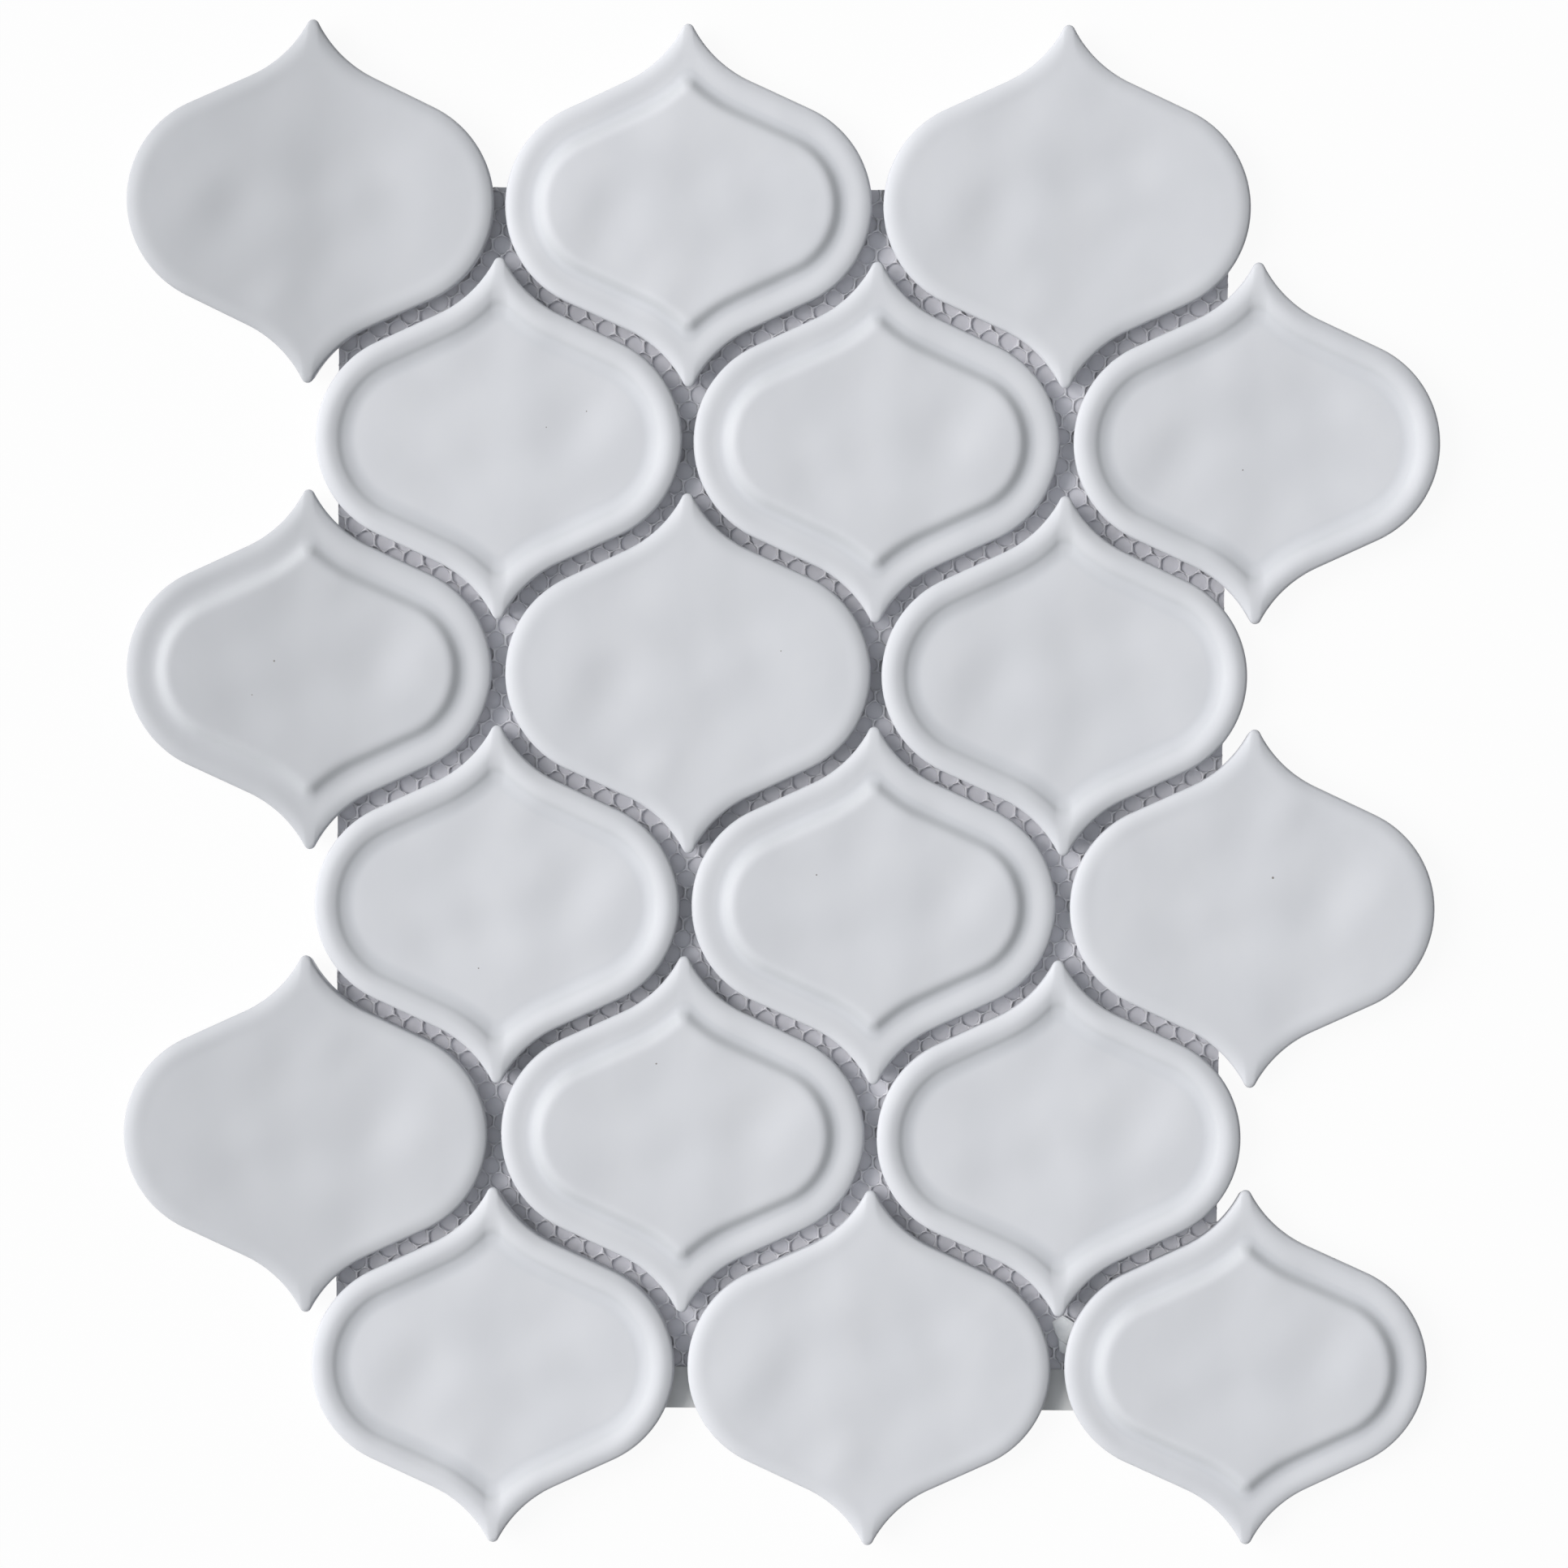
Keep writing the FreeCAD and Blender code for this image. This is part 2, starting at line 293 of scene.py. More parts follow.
def blend_colour(tree, factor, first, second):
    """Mixes two colours, each a triple or a socket."""
    mix = tree.nodes.new("ShaderNodeMix")
    mix.data_type = "RGBA"
    tree.links.new(factor, mix.inputs["Factor"])
    for name, colour in (("A", first), ("B", second)):
        socket = next(s for s in mix.inputs if s.name == name and s.type == "RGBA")
        if isinstance(colour, bpy.types.NodeSocket):
            tree.links.new(colour, socket)
        else:
            socket.default_value = (*colour, 1)
    return next(s for s in mix.outputs if s.type == "RGBA")


def new_material(name):
    """A material, its nodes and its shader."""
    material = bpy.data.materials.new(name)
    material.use_nodes = True
    return material, material.node_tree, material.node_tree.nodes["Principled BSDF"]


def bumped(tree, shader, heights):
    """Feeds (height, strength, distance) bumps one into the next, then into the shader."""
    normal = None
    for height, strength, distance in heights:
        bump = add(tree, "ShaderNodeBump", {"Height": height, "Strength": strength, "Distance": distance})
        if normal:
            tree.links.new(normal, bump.inputs["Normal"])
        normal = bump.outputs["Normal"]
    tree.links.new(normal, shader.inputs["Normal"])


def make_satin_glaze():
    """Cool white satin glaze: faintly cloudy and bluer where it pools, with painted shade that makes it
    greyer on steep relief and towards most tiles' left ends.
    """
    material, tree, shader = new_material("satin_glaze")
    place = add(tree, "ShaderNodeAttribute", attribute_name="glaze_place").outputs["Vector"]
    pooled = add(tree, "ShaderNodeAttribute", attribute_name="glaze_pool").outputs["Fac"]
    slope_shade_share = add(tree, "ShaderNodeAttribute", attribute_name="slope_shade_paint").outputs["Fac"]
    left_shade_share = add(tree, "ShaderNodeAttribute", attribute_name="left_shade_paint").outputs["Fac"]

    broad = clouds(tree, place, patches=70, stretch=0.7, contrast=2.4)
    small = clouds(tree, place, patches=190, stretch=0.8, contrast=2.2)
    colour = blend_colour(tree, broad, (0.674, 0.686, 0.723), (0.710, 0.720, 0.755))
    faint = value_of(tree, "MULTIPLY", small, 0.3)
    colour = blend_colour(tree, faint, colour, (0.674, 0.687, 0.729))
    colour = blend_colour(tree, value_of(tree, "MULTIPLY", pooled, 0.4), colour, (0.608, 0.627, 0.670))
    # Painted shade: grey towards the tiles' left ends
    colour = blend_colour(tree, left_shade_share, colour, (0.541, 0.553, 0.583))
    # Painted shade: grey laid on the relief's steep slopes
    colour = blend_colour(tree, slope_shade_share, colour, (0.574, 0.592, 0.615))
    tree.links.new(colour, shader.inputs["Base Color"])

    roughness = add(
        tree,
        "ShaderNodeMapRange",
        {"Value": small, "From Min": 0.0, "From Max": 1.0, "To Min": 0.46, "To Max": 0.55},
    )
    tree.links.new(roughness.outputs["Result"], shader.inputs["Roughness"])
    shader.inputs["IOR"].default_value = 1.42
    shader.inputs["Specular IOR Level"].default_value = 0.35

    peel = add(tree, "ShaderNodeTexNoise", {"Vector": place, "Scale": 900.0, "Detail": 1.0})
    ripple = add(tree, "ShaderNodeTexNoise", {"Vector": place, "Scale": 260.0, "Detail": 1.0})
    bumped(
        tree,
        shader,
        [
            (ripple.outputs["Fac"], 0.25, 0.12 * MM),
            (peel.outputs["Fac"], 0.12, 0.05 * MM),
        ],
    )
    return material


def make_iron_speck():
    """Dark grey-brown specks under the glaze."""
    material, tree, shader = new_material("iron_speck")
    shader.inputs["Base Color"].default_value = (0.25, 0.24, 0.23, 1)
    shader.inputs["Roughness"].default_value = 0.4
    return material


def make_bare_clay():
    """Unglazed porcelain of the back and foot: matt, fine-grained, a little warmer than the glaze."""
    material, tree, shader = new_material("bare_clay")
    place = add(tree, "ShaderNodeAttribute", attribute_name="glaze_place").outputs["Vector"]
    tone = clouds(tree, place, patches=120, stretch=1.0, contrast=2.5)
    colour = blend_colour(tree, tone, (0.60, 0.585, 0.55), (0.70, 0.69, 0.66))
    grains = add(tree, "ShaderNodeTexNoise", {"Vector": place, "Scale": 3500.0, "Detail": 2.0})
    colour = blend_colour(
        tree, value_of(tree, "MULTIPLY", grains.outputs["Fac"], 0.3), colour, (0.50, 0.48, 0.45)
    )
    tree.links.new(colour, shader.inputs["Base Color"])
    shader.inputs["Roughness"].default_value = 0.85
    bumped(tree, shader, [(grains.outputs["Fac"], 0.5, 0.06 * MM)])
    return material


def make_lilac_yarn():
    """Pale lilac-white polyester yarn, set with size so that it has a slight sheen."""
    material, tree, shader = new_material("lilac_yarn")
    place = add(tree, "ShaderNodeTexCoord").outputs["Object"]
    tone = clouds(tree, place, patches=320, stretch=1.0, contrast=2.4)
    colour = blend_colour(tree, tone, (0.89, 0.885, 0.93), (0.96, 0.955, 0.995))
    tree.links.new(colour, shader.inputs["Base Color"])
    shader.inputs["Roughness"].default_value = 0.6
    shader.inputs["Sheen Weight"].default_value = 0.2
    stitches = add(tree, "ShaderNodeTexNoise", {"Vector": place, "Scale": 4200.0, "Detail": 1.5})
    bumped(tree, shader, [(stitches.outputs["Fac"], 0.6, 0.08 * MM)])
    return material


def make_dried_glue():
    """Milky dried adhesive."""
    material, tree, shader = new_material("dried_glue")
    place = add(tree, "ShaderNodeTexCoord").outputs["Object"]
    tone = clouds(tree, place, patches=700, stretch=1.0, contrast=3.0)
    colour = blend_colour(tree, tone, (0.82, 0.84, 0.86), (0.93, 0.94, 0.95))
    tree.links.new(colour, shader.inputs["Base Color"])
    shader.inputs["Roughness"].default_value = 0.3
    return material


# Tiles


def arc(centre, radius, first, last, steps):
    """Points on an arc, without its last one."""
    angles = np.linspace(first, last, steps, endpoint=False)
    return np.stack([centre[0] + radius * np.cos(angles), centre[1] + radius * np.sin(angles)], 1)


def lantern(inset):
    """The tile's outline inset by so much: points anticlockwise from the middle of its right side.

    Each flank is hollowed round the neighbour's round side, so both stay concentric at every inset.
    """
    side = np.array([SIDE_CENTRE, 0.0])
    flank = np.array([FLANK_CENTRE, ROW_PITCH])
    side_radius = SIDE_RADIUS - inset
    flank_radius = FLANK_RADIUS + inset
    tip_round = (
        TIP_ROUND
        + (SHOULDER_ROUND - TIP_ROUND) * smooth_rise(inset, 0, SHOULDER_INSET)
        - (SHOULDER_ROUND - FIELD_ROUND) * smooth_rise(inset, SHOULDER_INSET, FIELD_ROUND_INSET)
    )
    between = flank - side
    lean = math.acos((side_radius + flank_radius) / np.hypot(*between))
    facing = math.atan2(between[1], between[0]) - lean
    tip = np.array([0.0, ROW_PITCH - math.sqrt((flank_radius + tip_round) ** 2 - FLANK_CENTRE**2)])
    towards_tip = math.atan2(tip[1] - flank[1], tip[0] - flank[0]) % math.tau
    straight_start = side + side_radius * np.array([math.cos(facing), math.sin(facing)])
    straight_end = flank - flank_radius * np.array([math.cos(facing), math.sin(facing)])
    straight = np.linspace(straight_start, straight_end, STRAIGHT_STEPS, endpoint=False)
    quarter = np.concatenate(
        [
            arc(side, side_radius, 0.0, facing, SIDE_STEPS),
            straight,
            arc(flank, flank_radius, facing + math.pi, towards_tip, FLANK_STEPS),
            arc(tip, tip_round, towards_tip - math.pi, math.pi / 2, TIP_STEPS),
            [[0.0, tip[1] + tip_round]],
        ]
    )
    left = quarter[::-1][1:] * (-1, 1)
    upper = np.concatenate([quarter, left])
    return np.concatenate([upper, -upper[1:-1]])


def edge_fall(pattern, inset):
    """How far the soft, rolled edge lies below the face it runs into."""
    drop, width = PILLOWS[pattern]
    pillow = drop * np.clip(1 - inset / width, 0, 1) ** PILLOW_FORM
    reach = np.clip(1 - inset / ROLL, 0, 1)
    return pillow + ROLL * (1 - np.sqrt(1 - reach**2))


def face_height(pattern, inset):
    """Height of the glazed face above the back, at so much in from the edge."""
    height = TILE_HEIGHT - edge_fall(pattern, inset)
    if pattern == "raised_panel":
        for rise, start, end in PANEL_RISES:
            height = height - rise * (1 - smooth_rise(inset, start, end))
    if pattern == "raised_rim":
        for fall, start, end in RIM_FALLS:
            height = height - fall * smooth_rise(inset, start, end)
    return height


def pooling(pattern, inset):
    """0 to 1, where the face is hollow enough across the edge for the glaze to gather."""
    step = 0.3 * MM
    bend = (
        face_height(pattern, inset + step)
        + face_height(pattern, inset - step)
        - 2 * face_height(pattern, inset)
    )
    return np.clip(bend / FULL_POOL_BEND, 0, 1)


def painted_shade_on_slopes(pattern, inset):
    """0 to 1: painted shade, a grey laid where the relief is steep."""
    step = 0.1 * MM
    rise = face_height(pattern, inset + step) - face_height(pattern, inset - step)
    steep = np.clip(SHADE_DEEPENING * (abs(rise) / (2 * step) - SHADE_START_SLOPE), 0, 1)
    return steep * smooth_rise(inset, SHADE_INSET, SHADE_FULL_INSET)


def face_insets():
    """Where the rings of the face run, closest together over the roll."""
    roll = ROLL * (1 - np.cos(np.linspace(0, math.pi / 2, ROLL_RINGS)))
    return np.concatenate([roll, RELIEF_RINGS, [FIELD_INSET]])


def place_of(node):
    """Middle of a CAD tile, and how far it is turned: its two tips lie on its own long line."""
    low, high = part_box(node)
    tip_reach = 0.4 * MM
    points = np.array([v.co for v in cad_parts[node].data.vertices])
    upper_tip = points[points[:, 1] > high.y - tip_reach].mean(0)
    lower_tip = points[points[:, 1] < low.y + tip_reach].mean(0)
    turn = -math.atan2(upper_tip[0] - lower_tip[0], upper_tip[1] - lower_tip[1])
    return (low.x + high.x) / 2, (low.y + high.y) / 2, low.z, turn


def unevenness(points, seed, way_round):
    """What the mould's hollows and the tile's own ripple add to the face's even height: mostly less."""
    found = np.zeros(len(points))
    for x, y, depth, half_length, half_width, lean in HOLLOWS:
        away = points * way_round / MM - (x, y)
        along = away @ (math.cos(math.radians(lean)), math.sin(math.radians(lean)))
        across = away @ (-math.sin(math.radians(lean)), math.cos(math.radians(lean)))
        found -= depth * MM * np.exp(-((along / half_length) ** 2 + (across / half_width) ** 2) / 2)
    ripple = [noise.noise(Vector((x, y, seed * TILE_TO_TILE))) for x, y in points / WAVE_LENGTH]
    return found + WAVE_HEIGHT * (np.array(ripple) - 1) - SET_DOWN


def painted_shade_at_left(points, place):
    """Share of painted shade, a grey on the glaze which fades towards the right end."""
    faded = LEFT_SHADE_LOST * smooth_rise(points[:, 0], FADE_START, FADE_END)
    return OTHER_LEFT_SHADES.get(place, EVEN_LEFT_SHADE) * (1 - faded)


def make_tile(node, seed, materials):
    """One tile of finished rings: back, foot, wall, rolled edge, relief and face."""
    place, pattern = node.removeprefix("tile_").split("_", 1)
    way_round = 1 if place in UNTURNED_TILES else -1
    rings, heights, pools, slope_shade_rings = [], [], [], []
    for inset, height in BACK_RINGS + GLAZED_WALL:
        rings.append(lantern(inset * MM))
        heights.append(np.full(len(rings[-1]), height * MM))
        pools.append(0.0)
        slope_shade_rings.append(0.0)
    for inset in face_insets():
        ring = lantern(inset)
        swell = unevenness(ring, seed, way_round) * smooth_rise(inset, 0, SWELL_INSET)
        rings.append(ring)
        heights.append(face_height(pattern, inset) + swell)
        pools.append(float(pooling(pattern, inset)))
        slope_shade_rings.append(float(painted_shade_on_slopes(pattern, inset)))
    field = rings[-1]
    level = float(face_height(pattern, FIELD_INSET))
    for share in np.linspace(1, 0, FIELD_RINGS, endpoint=False)[1:]:
        ring = field * share
        rings.append(ring)
        heights.append(level + unevenness(ring, seed, way_round))
        pools.append(0.0)
        slope_shade_rings.append(0.0)

    around = len(field)
    flat = np.concatenate(rings)
    middle_top = level + unevenness(np.zeros((1, 2)), seed, way_round)[0]
    local = np.concatenate(
        [
            np.column_stack([flat, np.concatenate(heights)]),
            [[0, 0, 0], [0, 0, middle_top]],
        ]
    )
    back_middle, top_middle = len(flat), len(flat) + 1

    faces, bare = [], []
    for ring in range(len(rings) - 1):
        start, following = ring * around, (ring + 1) * around
        for k in range(around):
            after = (k + 1) % around
            faces.append((start + k, start + after, following + after, following + k))
            bare.append(ring < len(BACK_RINGS) - 1)
    last = (len(rings) - 1) * around
    for k in range(around):
        after = (k + 1) % around
        faces.append((back_middle, after, k))
        bare.append(True)
        faces.append((last + k, last + after, top_middle))
        bare.append(False)

    x, y, z, turn = place_of(node)
    spin = np.array([[math.cos(turn), math.sin(turn)], [-math.sin(turn), math.cos(turn)]])
    placed = local.copy()
    placed[:, :2] = local[:, :2] @ spin + (x, y)
    placed[:, 2] += z

    mesh = bpy.data.meshes.new(f"glazed_{node}")
    mesh.from_pydata(placed.tolist(), [], faces)
    for material in materials:
        mesh.materials.append(material)
    mesh.polygons.foreach_set("material_index", np.array(bare, dtype=np.int32))
    mesh.polygons.foreach_set("use_smooth", np.ones(len(faces), dtype=bool))
    own_place = local + seed * GLAZE_SHIFT
    mesh.attributes.new("glaze_place", "FLOAT_VECTOR", "POINT").data.foreach_set(
        "vector", own_place.astype(np.float32).ravel()
    )
    glaze = {
        "glaze_pool": np.concatenate([np.repeat(pools, around), [0, 0]]),
        # The last two are painted shade: on the steep relief, and towards the tile's left end
        "slope_shade_paint": np.concatenate([np.repeat(slope_shade_rings, around), [0, 0]]),
        "left_shade_paint": painted_shade_at_left(local, place),
    }
    for name, shares in glaze.items():
        attribute = mesh.attributes.new(name, "FLOAT", "POINT")
        attribute.data.foreach_set("value", shares.astype(np.float32))

    tile = bpy.data.objects.new(f"glazed_{node}", mesh)
    bpy.context.scene.collection.objects.link(tile)
    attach(tile, "root")
    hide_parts(node)
    return tile


def surface_at(tile, x, y):
    """Point of a tile's face straight below a place."""
    shape = tile.data
    corners = [v.co for v in shape.vertices]
    faces = [list(p.vertices) for p in shape.polygons]
    return BVHTree.FromPolygons(corners, faces).ray_cast(Vector((x, y, 1)), Vector((0, 0, -1)))[0]


def make_pin_specks(tiles, material):
    """Small dark specks of iron in the glaze, each a flat lens half sunk in the face."""
    specks = bmesh.new()
    for place, x, y, radius in PIN_SPECKS:
        node = next(name for name in tiles if name.startswith(f"tile_{place}_"))
        middle_x, middle_y, _, _ = place_of(node)
        spot = surface_at(tiles[node], middle_x + x * MM, middle_y + y * MM)
        lens = Matrix.Translation(spot) @ Matrix.Diagonal((radius * MM, radius * MM, SPECK_RISE, 1))
        bmesh.ops.create_icosphere(specks, subdivisions=2, radius=1, matrix=lens)
    mesh = bpy.data.meshes.new("pin_specks")
    specks.to_mesh(mesh)
    specks.free()
    mesh.materials.append(material)
    piece = bpy.data.objects.new("pin_specks", mesh)
    bpy.context.scene.collection.objects.link(piece)
    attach(piece, "root")
    return piece


# Net


def make_hole_tree():
    """Geometry nodes: rows of six-sided holes in yarn, every other row shifted by half a hole."""
    tree = bpy.data.node_groups.new("rows_of_holes", "GeometryNodeTree")
    sockets = tree.interface
    sockets.new_socket("Geometry", in_out="INPUT", socket_type="NodeSocketGeometry")
    for name in ("Columns", "Rows", "Seed"):
        sockets.new_socket(name, in_out="INPUT", socket_type="NodeSocketInt")
    for name in ("Hole Pitch", "Row Pitch", "Yarn Width", "Thickness", "Unevenness"):
        sockets.new_socket(name, in_out="INPUT", socket_type="NodeSocketFloat")
    sockets.new_socket("Yarn", in_out="INPUT", socket_type="NodeSocketMaterial")
    sockets.new_socket("Geometry", in_out="OUTPUT", socket_type="NodeSocketGeometry")
    given = tree.nodes.new("NodeGroupInput").outputs

    # One hole: a six-sided face with twelve corners, whose middle is pulled in and taken away
    index = add(tree, "GeometryNodeInputIndex").outputs[0]
    is_knot = value_of(tree, "MODULO", index, 2.0)
    half_pitch = value_of(tree, "MULTIPLY", given["Hole Pitch"], 0.5)
    knot_reach = value_of(tree, "MULTIPLY", given["Row Pitch"], 2 / 3)
    disc = add(tree, "GeometryNodeMeshCircle", {"Vertices": 12, "Radius": 1.0}, fill_type="NGON")
    corner = add(
        tree, "ShaderNodeSeparateXYZ", {0: add(tree, "GeometryNodeInputPosition").outputs[0]}
    ).outputs
    # The circle's points lie at 30 degree steps; the odd ones become the corners where yarns knot
    straight = 1 / math.cos(math.radians(30))
    side_share = value_of(tree, "MULTIPLY_ADD", is_knot, straight - 1, 1.0)
    across = value_of(tree, "MULTIPLY", value_of(tree, "MULTIPLY", corner[0], half_pitch), side_share)
    knot_up = value_of(tree, "MULTIPLY", knot_reach, value_of(tree, "MULTIPLY", corner[1], is_knot))
    not_knot = value_of(tree, "SUBTRACT", 1.0, is_knot)
    mid_up = value_of(
        tree, "MULTIPLY", value_of(tree, "MULTIPLY", corner[1], knot_reach),
        value_of(tree, "MULTIPLY", not_knot, math.cos(math.radians(30))),
    )
    up = value_of(tree, "ADD", knot_up, mid_up)
    crest = value_of(
        tree, "MULTIPLY", given["Thickness"],
        value_of(tree, "MULTIPLY_ADD", is_knot, KNOT_CREST - YARN_CREST, YARN_CREST),
    )
    cell = add(
        tree,
        "GeometryNodeSetPosition",
        {
            "Geometry": disc.outputs["Mesh"],
            "Position": add(tree, "ShaderNodeCombineXYZ", {"X": across, "Y": up, "Z": crest}).outputs[0],
        },
    )
    drawn = add(
        tree,
        "GeometryNodeExtrudeMesh",
        {"Mesh": cell.outputs[0], "Offset Scale": 0.0, "Individual": True},
        mode="FACES",
    )
    rim = add(
        tree, "ShaderNodeSeparateXYZ", {0: add(tree, "GeometryNodeInputPosition").outputs[0]}
    ).outputs
    flat_place = add(tree, "ShaderNodeCombineXYZ", {"X": rim[0], "Y": rim[1], "Z": 0.0})
    reach = add(
        tree, "ShaderNodeVectorMath", {0: flat_place.outputs[0]}, operation="LENGTH"
    ).outputs["Value"]
    hole_reach = value_of(tree, "MULTIPLY_ADD", given["Yarn Width"], -0.5, half_pitch)
    share = value_of(tree, "DIVIDE", hole_reach, reach)
    rounded = value_of(tree, "MULTIPLY", share, HOLE_EASE)
    hole = add(
        tree,
        "GeometryNodeSetPosition",
        {
            "Geometry": drawn.outputs["Mesh"],
            "Selection": drawn.outputs["Top"],
            "Position": add(
                tree, "ShaderNodeVectorMath", {0: flat_place.outputs[0], "Scale": rounded}, operation="SCALE"
            ).outputs[0],
        },
    )
    upper = add(
        tree,
        "GeometryNodeDeleteGeometry",
        {"Geometry": hole.outputs[0], "Selection": drawn.outputs["Top"]},
        domain="FACE",
    )
    lower = add(tree, "GeometryNodeTransform", {"Geometry": upper.outputs[0], "Scale": (1, 1, -1)})
    flipped = add(tree, "GeometryNodeFlipFaces", {"Mesh": lower.outputs[0]})
    both = add(tree, "GeometryNodeJoinGeometry")
    tree.links.new(upper.outputs[0], both.inputs[0])
    tree.links.new(flipped.outputs[0], both.inputs[0])

    # Rows of them
    grid = add(
        tree, "GeometryNodeMeshGrid", {"Vertices X": given["Columns"], "Vertices Y": given["Rows"]}
    )
    number = add(tree, "GeometryNodeInputIndex").outputs[0]
    row = value_of(tree, "MODULO", number, given["Rows"])
    column = value_of(tree, "FLOOR", value_of(tree, "DIVIDE", number, given["Rows"]))
    shift = value_of(tree, "MULTIPLY", value_of(tree, "MODULO", row, 2.0), 0.5)
    middle_column = value_of(tree, "MULTIPLY", given["Columns"], 0.5)
    middle_row = value_of(tree, "MULTIPLY", given["Rows"], 0.5)
    hole_x = value_of(
        tree, "MULTIPLY", given["Hole Pitch"],
        value_of(tree, "SUBTRACT", value_of(tree, "ADD", column, shift), middle_column),
    )
    hole_y = value_of(
        tree, "MULTIPLY", given["Row Pitch"], value_of(tree, "SUBTRACT", row, middle_row)
    )
    laid = add(
        tree,
        "GeometryNodeSetPosition",
        {
            "Geometry": grid.outputs["Mesh"],
            "Position": add(tree, "ShaderNodeCombineXYZ", {"X": hole_x, "Y": hole_y}).outputs[0],
        },
    )
    holes = add(
        tree, "GeometryNodeInstanceOnPoints", {"Points": laid.outputs[0], "Instance": both.outputs[0]}
    )
    knitted = add(tree, "GeometryNodeRealizeInstances", {"Geometry": holes.outputs[0]})
    joined = add(
        tree, "GeometryNodeMergeByDistance", {"Geometry": knitted.outputs[0], "Distance": KNOT_GAP}
    )

    # The knit is uneven: its holes differ a little in size and place
    spot = add(tree, "GeometryNodeInputPosition").outputs[0]
    drift = add(
        tree,
        "ShaderNodeTexNoise",
        {"Vector": spot, "W": given["Seed"], "Scale": 230.0, "Detail": 1.0},
        noise_dimensions="4D",
    )
    centred = add(
        tree, "ShaderNodeVectorMath", {0: drift.outputs["Color"], 1: (0.5, 0.5, 0.5)}, operation="SUBTRACT"
    )
    level_drift = add(
        tree, "ShaderNodeVectorMath", {0: centred.outputs[0], 1: (1, 1, 0)}, operation="MULTIPLY"
    )
    offset = add(
        tree, "ShaderNodeVectorMath", {0: level_drift.outputs[0], "Scale": given["Unevenness"]},
        operation="SCALE",
    )
    uneven = add(
        tree, "GeometryNodeSetPosition", {"Geometry": joined.outputs[0], "Offset": offset.outputs[0]}
    )
    smooth = add(tree, "GeometryNodeSetShadeSmooth", {0: uneven.outputs[0]})
    finished = add(
        tree, "GeometryNodeSetMaterial", {"Geometry": smooth.outputs[0], "Material": given["Yarn"]}
    )
    out = tree.nodes.new("NodeGroupOutput")
    tree.links.new(finished.outputs[0], out.inputs["Geometry"])
    return tree


def knit(width, length, thickness, yarn):
    """A mesh of net at least so wide and long, made by the tree."""
    tree = make_hole_tree()
    carrier = bpy.data.objects.new("net_in_work", bpy.data.meshes.new("net_in_work"))
    bpy.context.scene.collection.objects.link(carrier)
    modifier = carrier.modifiers.new("knit", "NODES")
    modifier.node_group = tree
    sizes = {
        "Columns": math.ceil(width / HOLE_PITCH),
        "Rows": math.ceil(length / HOLE_ROW_PITCH),
        "Seed": 4,
        "Hole Pitch": HOLE_PITCH,
        "Row Pitch": HOLE_ROW_PITCH,
        "Yarn Width": YARN_WIDTH,
        "Thickness": thickness,
        "Unevenness": KNIT_DRIFT,
        "Yarn": yarn,
    }
    for item in tree.interface.items_tree:
        if item.in_out == "INPUT" and item.name in sizes:
            modifier[item.identifier] = sizes[item.name]
    evaluated = carrier.evaluated_get(bpy.context.evaluated_depsgraph_get())
    mesh = bpy.data.meshes.new_from_object(evaluated)
    bpy.data.objects.remove(carrier)
    return mesh


def trim(net, low, high):
    """Cuts the net to its rectangle and closes the cut ends of the yarns."""
    for corner, direction in (
        (low, (-1, 0, 0)),
        (high, (1, 0, 0)),
        (low, (0, -1, 0)),
        (high, (0, 1, 0)),
    ):
        cut = bmesh.ops.bisect_plane(
            net,
            geom=[*net.verts, *net.edges, *net.faces],
            dist=1e-7,
            plane_co=corner,
            plane_no=direction,
            clear_outer=True,
        )
        edges = [e for e in cut["geom_cut"] if isinstance(e, bmesh.types.BMEdge)]
        bmesh.ops.holes_fill(net, edges=edges, sides=0)


def add_selvedge(net, low, high):
    """The closed woven border along the lower end: a flat band with soft edges."""
    corners = bmesh.ops.create_cube(net, size=1)["verts"]
    for corner in corners:
        for axis in range(3):
            corner.co[axis] = low[axis] if corner.co[axis] < 0 else high[axis]
    edges = {e for corner in corners for e in corner.link_edges}
    bmesh.ops.bevel(net, geom=list(edges), offset=SELVEDGE_ROUND, segments=2, affect="EDGES", profile=0.5)


def make_net(yarn):
    """The knitted net that holds the tiles: cut straight through its holes, with one closed border."""
    low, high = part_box("backing_net")
    thickness = high.z - low.z
    middle = (low + high) / 2
    mesh = knit((high.x - low.x) * KNIT_SPARE, (high.y - low.y) * KNIT_SPARE, thickness, yarn)
    net = bmesh.new()
    net.from_mesh(mesh)
    bmesh.ops.rotate(net, verts=net.verts, cent=(0, 0, 0), matrix=Matrix.Rotation(NET_SKEW, 3, "Z"))
    bmesh.ops.translate(net, verts=net.verts, vec=middle)
    crest = SELVEDGE_CREST * thickness
    selvedge_top = Vector((high.x, low.y + SELVEDGE, middle.z + crest))
    selvedge_low = Vector((low.x, low.y, middle.z - crest))
    trim(net, Vector((low.x, low.y + SELVEDGE - SELVEDGE_LAP, 0)), high)
    add_selvedge(net, selvedge_low, selvedge_top)
    net.to_mesh(mesh)
    net.free()
    mesh.name = "knitted_net"
    piece = bpy.data.objects.new("knitted_net", mesh)
    bpy.context.scene.collection.objects.link(piece)
    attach(piece, "root")
    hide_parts("backing_net")
    return piece


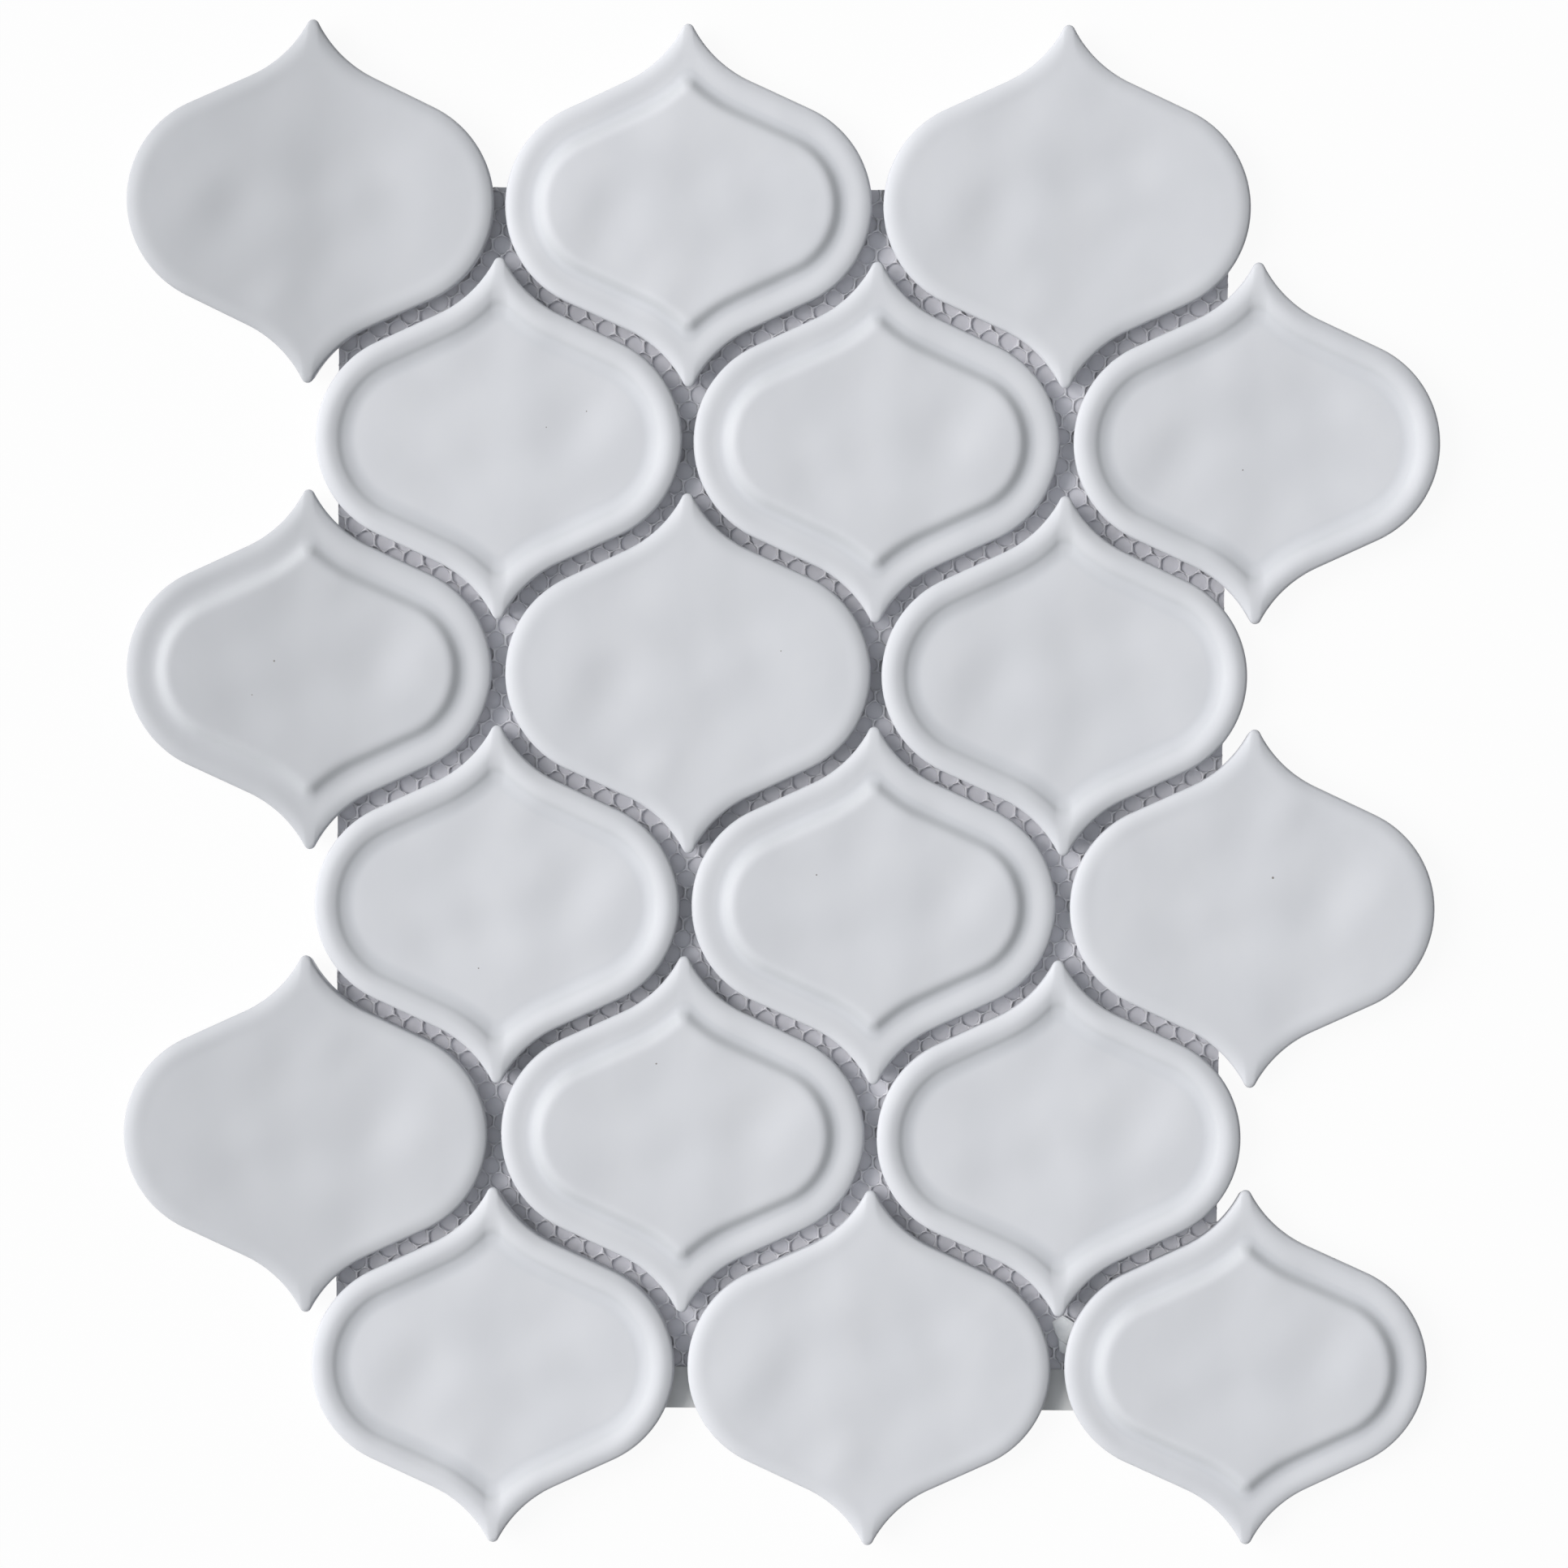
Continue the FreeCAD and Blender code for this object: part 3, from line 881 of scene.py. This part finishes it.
def make_glue_spills(material):
    """The spills as low lumps with soft edges, all in one mesh."""
    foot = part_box("backing_net")[1].z - GLUE_SINK
    points, faces = [], []
    for height, corners in GLUE_SPILLS:
        ring = np.array(corners) * MM
        middle = ring.mean(0)
        around, first = len(ring), len(points)
        for share, rise in GLUE_LEVELS:
            z = foot + rise * height * MM
            points += [(x, y, z) for x, y in middle + (ring - middle) * share]
        for level in range(len(GLUE_LEVELS) - 1):
            start = first + level * around
            for k in range(around):
                after = (k + 1) % around
                faces.append((start + k, start + after, start + around + after, start + around + k))
        last = first + (len(GLUE_LEVELS) - 1) * around
        faces.append(tuple(range(first, first + around))[::-1])
        faces.append(tuple(range(last, last + around)))
    mesh = bpy.data.meshes.new("glue_spills")
    mesh.from_pydata(points, [], faces)
    mesh.materials.append(material)
    mesh.polygons.foreach_set("use_smooth", np.ones(len(faces), dtype=bool))
    piece = bpy.data.objects.new("glue_spills", mesh)
    bpy.context.scene.collection.objects.link(piece)
    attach(piece, "root")
    return piece


# Stage


def make_floor(pale):
    """Pale table top, lifted to white for the camera except under the net."""
    mesh = bpy.data.meshes.new("table_top")
    level = cad_low.z - TABLE_GAP
    corners = [(x * TABLE_REACH, y * TABLE_REACH, level) for x, y in ((-1, -1), (1, -1), (1, 1), (-1, 1))]
    mesh.from_pydata(corners, [], [(0, 1, 2, 3)])
    mesh.materials.append(pale)
    floor = bpy.data.objects.new("table_top", mesh)
    bpy.context.scene.collection.objects.link(floor)
    return floor


def make_table_paint():
    """Pale matt paint; past the net it is nearly white to the camera, but still takes the sheet's shadow."""
    material, tree, shader = new_material("table_paint")
    shader.inputs["Roughness"].default_value = 0.9
    shader.inputs["Specular IOR Level"].default_value = 0.2
    low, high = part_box("backing_net")
    place = add(
        tree, "ShaderNodeSeparateXYZ", {0: add(tree, "ShaderNodeTexCoord").outputs["Object"]}
    ).outputs
    reaches = []
    for axis in range(2):
        middle, half = (low[axis] + high[axis]) / 2, (high[axis] - low[axis]) / 2
        away = value_of(tree, "ABSOLUTE", value_of(tree, "SUBTRACT", place[axis], middle))
        reaches.append(value_of(tree, "DIVIDE", away, half))
    outside = value_of(tree, "GREATER_THAN", value_of(tree, "MAXIMUM", *reaches), 1.0)
    colour = blend_colour(tree, outside, (0.85, 0.845, 0.895), (0.80, 0.80, 0.80))
    tree.links.new(colour, shader.inputs["Base Color"])
    from_below = add(tree, "ShaderNodeNewGeometry").outputs["Backfacing"]
    open_part = value_of(tree, "MAXIMUM", outside, from_below)
    light = add(tree, "ShaderNodeLightPath").outputs
    seen = value_of(
        tree, "MAXIMUM", light["Is Camera Ray"],
        value_of(tree, "MAXIMUM", light["Is Glossy Ray"], light["Is Transmission Ray"]),
    )
    lift = value_of(tree, "MULTIPLY", value_of(tree, "MULTIPLY", seen, open_part), WHITE_SHARE)
    white = add(tree, "ShaderNodeEmission", {"Color": (1, 1, 1, 1), "Strength": 1.0})
    mix = add(
        tree, "ShaderNodeMixShader", {0: lift, 1: shader.outputs["BSDF"], 2: white.outputs["Emission"]}
    )
    tree.links.new(mix.outputs[0], tree.nodes["Material Output"].inputs["Surface"])
    return material


def make_world():
    """Fill light, strongest from high up; white where the camera or a reflection sees past the table."""
    world = bpy.data.worlds.new("studio")
    world.use_nodes = True
    bpy.context.scene.world = world
    tree = world.node_tree
    tree.nodes.clear()
    light = add(tree, "ShaderNodeLightPath").outputs
    seen = value_of(
        tree, "MAXIMUM", light["Is Camera Ray"],
        value_of(tree, "MAXIMUM", light["Is Glossy Ray"], light["Is Transmission Ray"]),
    )
    middle = (
        math.sin(FILL_LEAN) * math.cos(KEY_AZIMUTH),
        math.sin(FILL_LEAN) * math.sin(KEY_AZIMUTH),
        math.cos(FILL_LEAN),
    )
    facing = add(
        tree,
        "ShaderNodeVectorMath",
        {0: add(tree, "ShaderNodeTexCoord").outputs["Generated"], 1: middle},
        operation="DOT_PRODUCT",
    ).outputs["Value"]
    # Scaled so that a level face gets about FILL_LEVEL, whatever the focus and the lean
    overhead = value_of(
        tree, "MULTIPLY", value_of(tree, "POWER", value_of(tree, "ABSOLUTE", facing), FILL_FOCUS),
        FILL_LEVEL * (FILL_FOCUS + 2) / 2 / math.cos(FILL_LEAN),
    )
    fill = add(tree, "ShaderNodeBackground", {"Color": (*FILL_COLOUR, 1), "Strength": overhead})
    white = add(tree, "ShaderNodeBackground", {"Color": (1, 1, 1, 1), "Strength": 1.0})
    mix = add(tree, "ShaderNodeMixShader", {0: seen, 1: fill.outputs[0], 2: white.outputs[0]})
    out = tree.nodes.new("ShaderNodeOutputWorld")
    tree.links.new(mix.outputs[0], out.inputs["Surface"])


def make_key_light():
    """One large soft box on the left, which gives the level table its share of full light."""
    lamp = bpy.data.lights.new("soft_box", "AREA")
    lamp.shape = "SQUARE"
    lamp.size = KEY_SIDE
    lamp.color = KEY_COLOUR
    # Its share of the light that a whole sky as bright would give a face turned towards it
    reach = KEY_SIDE / 2 / math.hypot(KEY_SIDE / 2, KEY_DISTANCE)
    share = 4 / math.pi * reach * math.atan(reach)
    lamp.energy = KEY_LEVEL * math.pi * KEY_SIDE**2 / (share * math.sin(KEY_ELEVATION))
    box = bpy.data.objects.new("soft_box", lamp)
    bpy.context.scene.collection.objects.link(box)
    level = math.cos(KEY_ELEVATION)
    place = KEY_DISTANCE * Vector(
        (level * math.cos(KEY_AZIMUTH), level * math.sin(KEY_AZIMUTH), math.sin(KEY_ELEVATION))
    )
    box.location = place
    box.rotation_euler = (-place).to_track_quat("-Z", "Y").to_euler()


def make_camera():
    """Looks straight down on the sheet, leaning back a little from its upper end."""
    data = bpy.data.cameras.new("camera")
    data.lens = LENS
    data.sensor_width = SENSOR
    data.clip_start = NEAREST
    data.clip_end = FARTHEST
    camera = bpy.data.objects.new("camera", data)
    camera.location = CAMERA_PLACE
    camera.rotation_euler = (CAMERA_LEAN, 0, CAMERA_TURN)
    bpy.context.scene.collection.objects.link(camera)
    bpy.context.scene.camera = camera


glaze_and_clay = (make_satin_glaze(), make_bare_clay())
tile_nodes = sorted(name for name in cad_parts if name.startswith("tile_"))
tiles = {node: make_tile(node, seed, glaze_and_clay) for seed, node in enumerate(tile_nodes, start=1)}
make_pin_specks(tiles, make_iron_speck())

make_glue_spills(make_dried_glue())
net = make_net(make_lilac_yarn())

make_floor(make_table_paint())
make_world()
make_key_light()
make_camera()
bpy.context.scene.view_settings.view_transform = "Standard"
